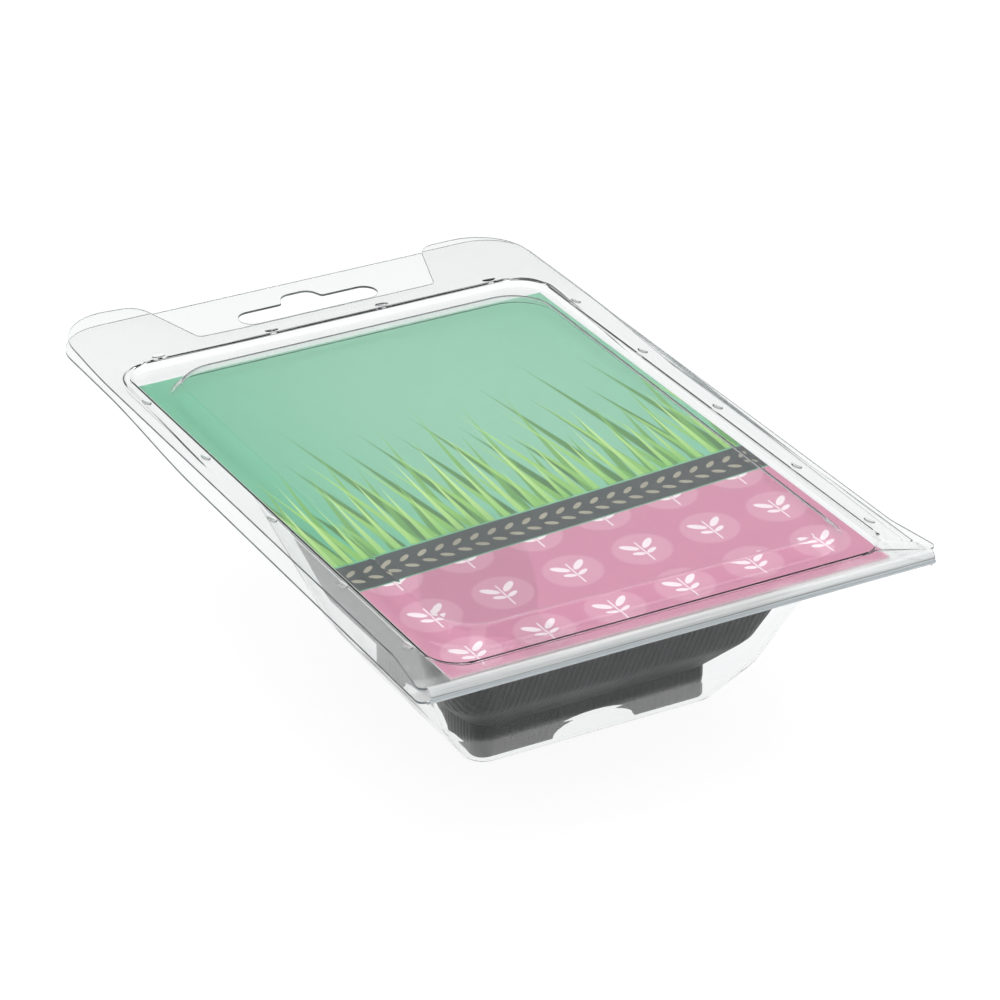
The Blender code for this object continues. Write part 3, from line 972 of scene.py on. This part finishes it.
def make_board():
    finish, shader = new_finish("bare board", Roughness=0.75)
    where, _ = finish.place()
    fibres = finish.cloud(where, 2600.0, detail=5.0, roughness=0.7)
    finish.feed(shader.inputs["Base Color"], finish.tint(fibres, BOARD_DARK, BOARD_PALE))
    finish.feed(shader.inputs["Normal"], finish.relief(fibres, 0.00006))
    return finish.owner


# %% Grass blades and leaves
Blades = namedtuple("Blades", "count tallest lean curl seed dark light")
MEADOW = (
    Blades(15, 0.46, 1.5, 0.25, 3.1, (0.02, 0.10, 0.025), (0.10, 0.30, 0.05)),
    Blades(19, 0.42, -2.5, -0.20, 7.7, (0.05, 0.20, 0.04), (0.22, 0.48, 0.10)),
    Blades(23, 0.36, 3.0, 0.20, 1.9, (0.10, 0.32, 0.05), (0.40, 0.66, 0.18)),
    Blades(27, 0.30, -1.0, -0.25, 5.3, (0.16, 0.42, 0.08), (0.62, 0.80, 0.32)),
)


def blade_layer(finish, across, up, blades):
    """Mask and shade of one row of blades that grow from up = 0, each of its own height."""
    slanted = across * blades.count + up * blades.lean + blades.seed
    number = slanted.floor()
    luck = finish.node("ShaderNodeTexWhiteNoise", {"noise_dimensions": "1D"}, {"W": number})
    risen = up / (luck * 0.55 * blades.tallest + 0.45 * blades.tallest)
    aside = abs(slanted.fraction() - 0.5 + risen * risen * blades.curl)
    width = (1.0 - risen.held()) * 0.24
    mask = ((width - aside) * 14.0).held() * (up * 200.0).held()
    shade = finish.tint((risen * 0.7 + luck * 0.3).held(), blades.dark, blades.light)
    return mask, shade


def leaf(x, y, turn, half_length, half_width):
    """Mask of an ellipse round the middle of its cell, turned by this angle."""
    along_leaf = x * math.cos(turn) + y * math.sin(turn)
    across_leaf = y * math.cos(turn) - x * math.sin(turn)
    first = along_leaf / half_length
    second = across_leaf / half_width
    return ((1.0 - (first * first + second * second) ** 0.5) * 6.0).held()


# %% Print on the card
CARD_WIDTH = 0.102
CARD_LENGTH = 0.146
CARD_NEAR = NEAR + 0.0056
MINT = (0.10, 0.39, 0.23)
PALE_MINT = (0.26, 0.49, 0.36)
PINK = (0.52, 0.185, 0.29)
PALE_PINK = (0.66, 0.35, 0.45)
CHARCOAL = (0.022, 0.027, 0.030)
PAPER_WHITE = (0.88, 0.84, 0.85)
WHEAT = (0.50, 0.46, 0.34)
SPROUTS = 6.0
SPROUT_ROWS = 8.6
GRAINS = 24.0
GRAIN_ASPECT = 2.6
BAND_LOW = 0.270
BAND_HIGH = 0.345
BAND_TILT = 0.050
INK_EDGE = 400.0
DOTS_PER_METRE = 5200.0
DOT_COLOR = (0.9, 0.9, 0.9)


def make_print():
    finish, shader = new_finish("printed card front", Roughness=0.32)
    where, (x, y, _) = finish.place()
    across = x / CARD_WIDTH + 0.5
    along = (y - CARD_NEAR) / CARD_LENGTH
    low = across * BAND_TILT + BAND_LOW
    high = across * BAND_TILT + BAND_HIGH

    glow = 1.0 - ((across - 0.62) * (across - 0.62) * 2.2 + (along - 0.72) * (along - 0.72) * 3.2)
    color = finish.tint(glow.held() * 0.75, MINT, PALE_MINT)
    for blades in MEADOW:
        mask, shade = blade_layer(finish, across, along - high, blades)
        color = finish.tint(mask, color, shade)

    in_pink = ((low - along) * INK_EDGE).held()
    cell_x = abs((across * SPROUTS).fraction() - 0.5)
    cell_y = ((along - across * BAND_TILT) * SPROUT_ROWS + 0.12).fraction() - 0.5
    disc = ((0.40 - (cell_x * cell_x + cell_y * cell_y) ** 0.5) * 30.0).held()
    leaves = leaf(cell_x - 0.13, cell_y - 0.10, 0.75, 0.14, 0.055)
    low_leaves = leaf(cell_x - 0.09, cell_y + 0.08, 0.45, 0.09, 0.04)
    stem = ((0.014 - cell_x) * 120.0).held() * ((0.26 - abs(cell_y + 0.06)) * 60.0).held()
    pink = finish.tint(disc * 0.45, PINK, PALE_PINK)
    pink = finish.tint(leaves.most(low_leaves).most(stem) * 0.75, pink, PAPER_WHITE)
    color = finish.tint(in_pink, color, pink)
    in_band = ((along - low) * INK_EDGE).held() * ((high - along) * INK_EDGE).held()
    grain_x = (across * GRAINS).fraction() - 0.5
    grain_y = abs((along - low) / (BAND_HIGH - BAND_LOW) - 0.5) * GRAIN_ASPECT - 0.42
    band = finish.tint(leaf(grain_x, grain_y, 0.6, 0.40, 0.17) * 0.55, CHARCOAL, WHEAT)
    color = finish.tint(in_band, color, band)

    dots = finish.cloud(where, DOTS_PER_METRE, detail=1.0)
    color = finish.tint(dots * 0.06, color, DOT_COLOR)
    finish.feed(shader.inputs["Base Color"], color)
    finish.feed(shader.inputs["Roughness"], finish.cloud(where, 60.0) * 0.1 + 0.28)
    finish.feed(shader.inputs["Normal"], finish.relief(finish.cloud(where, 1500.0, detail=3.0), 0.00002))
    return finish.owner


# %% Card
CARD_WARP = 0.00010
CARD_COLUMNS = 16
CARD_ROWS = 22


def make_card():
    bm = bmesh.new()
    verts = []
    for j in range(CARD_ROWS + 1):
        for i in range(CARD_COLUMNS + 1):
            x = CARD_WIDTH * (i / CARD_COLUMNS - 0.5)
            y = CARD_NEAR + CARD_LENGTH * j / CARD_ROWS
            lift = CARD_WARP * noise.noise(Vector((x * 18.0, y * 14.0, 0.7)))
            verts.append(bm.verts.new((x, y, CARD_BOTTOM + CARD_THICKNESS + lift)))
    across = CARD_COLUMNS + 1
    for j in range(CARD_ROWS):
        for i in range(CARD_COLUMNS):
            a = j * across + i
            bm.faces.new((verts[a], verts[a + 1], verts[a + across + 1], verts[a + across]))
    card = new_piece("card", bm, make_print(), make_board())
    board = thicken(card, CARD_THICKNESS)
    board.material_offset = 1
    settle(card)
    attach(card, "pack")
    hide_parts("printed_card")
    return card


card = make_card()
print("card:", len(card.data.polygons), "faces on its front")

# %% [markdown]
# ## The growing tray
#
# The tray is drawn from black sheet, satin and a little dusty, with fine ribs down its flared sides. The
# CAD node has the right shape already, so it stays and gets a finish. The ribs are a bump that runs
# along each wall, so the wall's own direction picks the axis that they repeat on.

# %% Black tray finish
RIBS_PER_METRE = 700.0
RIB_DEPTH = 0.0002
DUST_PER_METRE = 240.0
HAZE_PER_METRE = 50.0
TRAY_BLACK = (0.004, 0.0045, 0.005)
TRAY_DUST = (0.020, 0.022, 0.024)


def make_black_plastic():
    finish, shader = new_finish("black tray plastic", IOR=1.5, Specular_IOR_Level=0.15)
    where, (x, y, _) = finish.place()
    facing = finish.node("ShaderNodeNewGeometry", output="Normal")
    parts = finish.node("ShaderNodeSeparateXYZ", {}, [facing]).socket.node.outputs
    side_x = abs(Thread(finish, parts["X"]))
    side_y = abs(Thread(finish, parts["Y"]))
    turns = RIBS_PER_METRE * math.tau
    ribs = (x * turns).sine() * side_y + (y * turns).sine() * side_x
    dust = finish.cloud(where, DUST_PER_METRE)
    haze = finish.cloud(where, HAZE_PER_METRE)
    finish.feed(shader.inputs["Base Color"], finish.tint((dust * haze).held(), TRAY_BLACK, TRAY_DUST))
    finish.feed(shader.inputs["Roughness"], dust * 0.25 + 0.38)
    finish.feed(shader.inputs["Normal"], finish.relief(ribs * 0.35 + 0.5, RIB_DEPTH))
    return finish.owner


tray = frame["nodes"]["growing_tray"]
tray.data.materials.clear()
tray.data.materials.append(make_black_plastic())
shade(tray, SHARP_ANGLE)
print("tray:", len(tray.data.polygons), "faces")

# %% [markdown]
# ## The bag of growing medium and the seed sachet
#
# Both are pillow pouches: film sealed flat and crimped at two ends, with a back and a front that bulge
# between them. The bag is clear film over golden brown flakes, and the sachet is white paper. Each is a
# closed form whose thickness fades to nothing at its seals, with creases that run in from them. A cloth
# simulation could blow them up. The tray and the card hide nearly all of both, so a formula does, and it
# gives the same pillow each time.

# %% The two pouches
Pouch = namedtuple("Pouch", "name node slot half_x half_y low high seal creases seed fill")
SEAL = 0.0040
BAG = Pouch(
    name="medium_bag",
    node="growing_medium_bag",
    slot="bag_film",
    half_x=0.0285,
    half_y=0.0236,
    low=0.0093,
    high=0.0268,
    seal=SEAL,
    creases=9.0,
    seed=4.0,
    fill=0.7,
)
SACHET = Pouch(
    name="seed_pouch",
    node="seed_sachet",
    slot="seed_foil",
    half_x=0.0305,
    half_y=0.0235,
    low=0.0278,
    high=0.0351,
    seal=SEAL,
    creases=7.0,
    seed=9.0,
    fill=0.5,
)
print("bag and sachet in mm thick:", [round(1000 * (p.high - p.low), 1) for p in (BAG, SACHET)])

# %% Flakes behind film
FLAKE_STOPS = (
    (0.0, (0.10, 0.05, 0.02)),
    (0.45, (0.34, 0.19, 0.07)),
    (0.85, (0.62, 0.42, 0.18)),
    (1.0, (0.80, 0.68, 0.44)),
)
FLAKES_PER_METRE = 420.0
CRUMPLE_DEPTH = 0.0006


def make_flakes():
    sockets = {"IOR": 1.5, "Coat_Weight": 0.7, "Coat_Roughness": 0.10}
    finish, shader = new_finish("flakes seen through clear film", **sockets)
    where, _ = finish.place()
    cells = finish.node("ShaderNodeTexVoronoi", {}, {"Vector": where, "Scale": FLAKES_PER_METRE}, "Color")
    flake = finish.node("ShaderNodeSeparateXYZ", {}, [cells])
    color = finish.node("ShaderNodeValToRGB", {"stops": FLAKE_STOPS}, [flake])
    finish.feed(shader.inputs["Base Color"], color)
    finish.feed(shader.inputs["Roughness"], flake * 0.2 + 0.35)
    crumple = finish.cloud(where, 160.0, detail=4.0)
    finish.feed(shader.inputs["Normal"], finish.relief(crumple + flake * 0.2, CRUMPLE_DEPTH))
    return finish.owner


# %% White paper with crimped ends
CRIMPS_PER_METRE = 900.0
PAPER_DARK = (0.74, 0.72, 0.67)
PAPER_PALE = (0.86, 0.84, 0.79)


def make_sachet_paper():
    finish, shader = new_finish("white sachet paper", IOR=1.5)
    where, (x, y, _) = finish.place()
    crumple = finish.cloud(where, 130.0, detail=5.0, roughness=0.6)
    fibres = finish.cloud(where, 2200.0, detail=4.0)
    sealed = ((abs(x) - SACHET.half_x + SACHET.seal) * 2000.0).held()
    crimp = (y * CRIMPS_PER_METRE * math.tau).sine() * sealed
    finish.feed(shader.inputs["Base Color"], finish.tint(fibres, PAPER_DARK, PAPER_PALE))
    finish.feed(shader.inputs["Roughness"], fibres * 0.2 + 0.42)
    finish.feed(shader.inputs["Normal"], finish.relief(crumple + crimp * 0.3, CRUMPLE_DEPTH))
    return finish.owner


# %% Pillow shape
SEALED_FILM = 0.00012


def make_pouch(pouch, material):
    """A closed pillow: its bulge fades at the long sides and stops at the sealed ends."""
    bm = bmesh.new()
    bmesh.ops.create_grid(bm, x_segments=44, y_segments=34, size=1.0)
    middle = (pouch.low + pouch.high) / 2
    half = (pouch.high - pouch.low) / 2
    copied = bmesh.ops.duplicate(bm, geom=bm.faces[:])["geom"]
    back_faces = [item for item in copied if isinstance(item, bmesh.types.BMFace)]
    back_verts = {v for f in back_faces for v in f.verts}
    bmesh.ops.reverse_faces(bm, faces=back_faces)
    seal = pouch.seal / pouch.half_x
    for vert in bm.verts:
        u, v = vert.co.x, vert.co.y
        side = -1.0 if vert in back_verts else 1.0
        inner = max(0.0, 1.0 - abs(u) / (1.0 - seal))
        from_seal = 1.0 - (1.0 - min(1.0, inner * 1.9)) ** 2.2
        bulge = from_seal * max(0.0, 1.0 - abs(v) ** 3.2) ** 0.5
        ripple = noise.noise(Vector((u * 1.3, v * pouch.creases, pouch.seed))) * (1.0 - abs(v) ** 4)
        wrinkle = 1.0 - 0.16 * abs(ripple) * (0.4 + abs(u)) - 0.05
        pull = 1.0 - 0.05 * (1.0 - abs(u) ** 2) * abs(v) ** 3
        thin = SEALED_FILM * (1.0 - max(abs(u), abs(v)) ** 40)
        vert.co.x = u * pouch.half_x
        vert.co.y = v * pouch.half_y * pull + POCKET_MIDDLE
        vert.co.z = middle + side * (half * bulge * wrinkle + thin)
    bmesh.ops.remove_doubles(bm, verts=bm.verts[:], dist=0.00002)
    bmesh.ops.recalc_face_normals(bm, faces=bm.faces[:])
    piece = new_piece(pouch.name, bm, material, sharp=60)
    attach(piece, "pack")
    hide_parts(pouch.node)
    return piece


medium_bag = make_pouch(BAG, make_flakes())
seed_pouch = make_pouch(SACHET, make_sachet_paper())
print("pouches:", medium_bag.name, "and", seed_pouch.name)
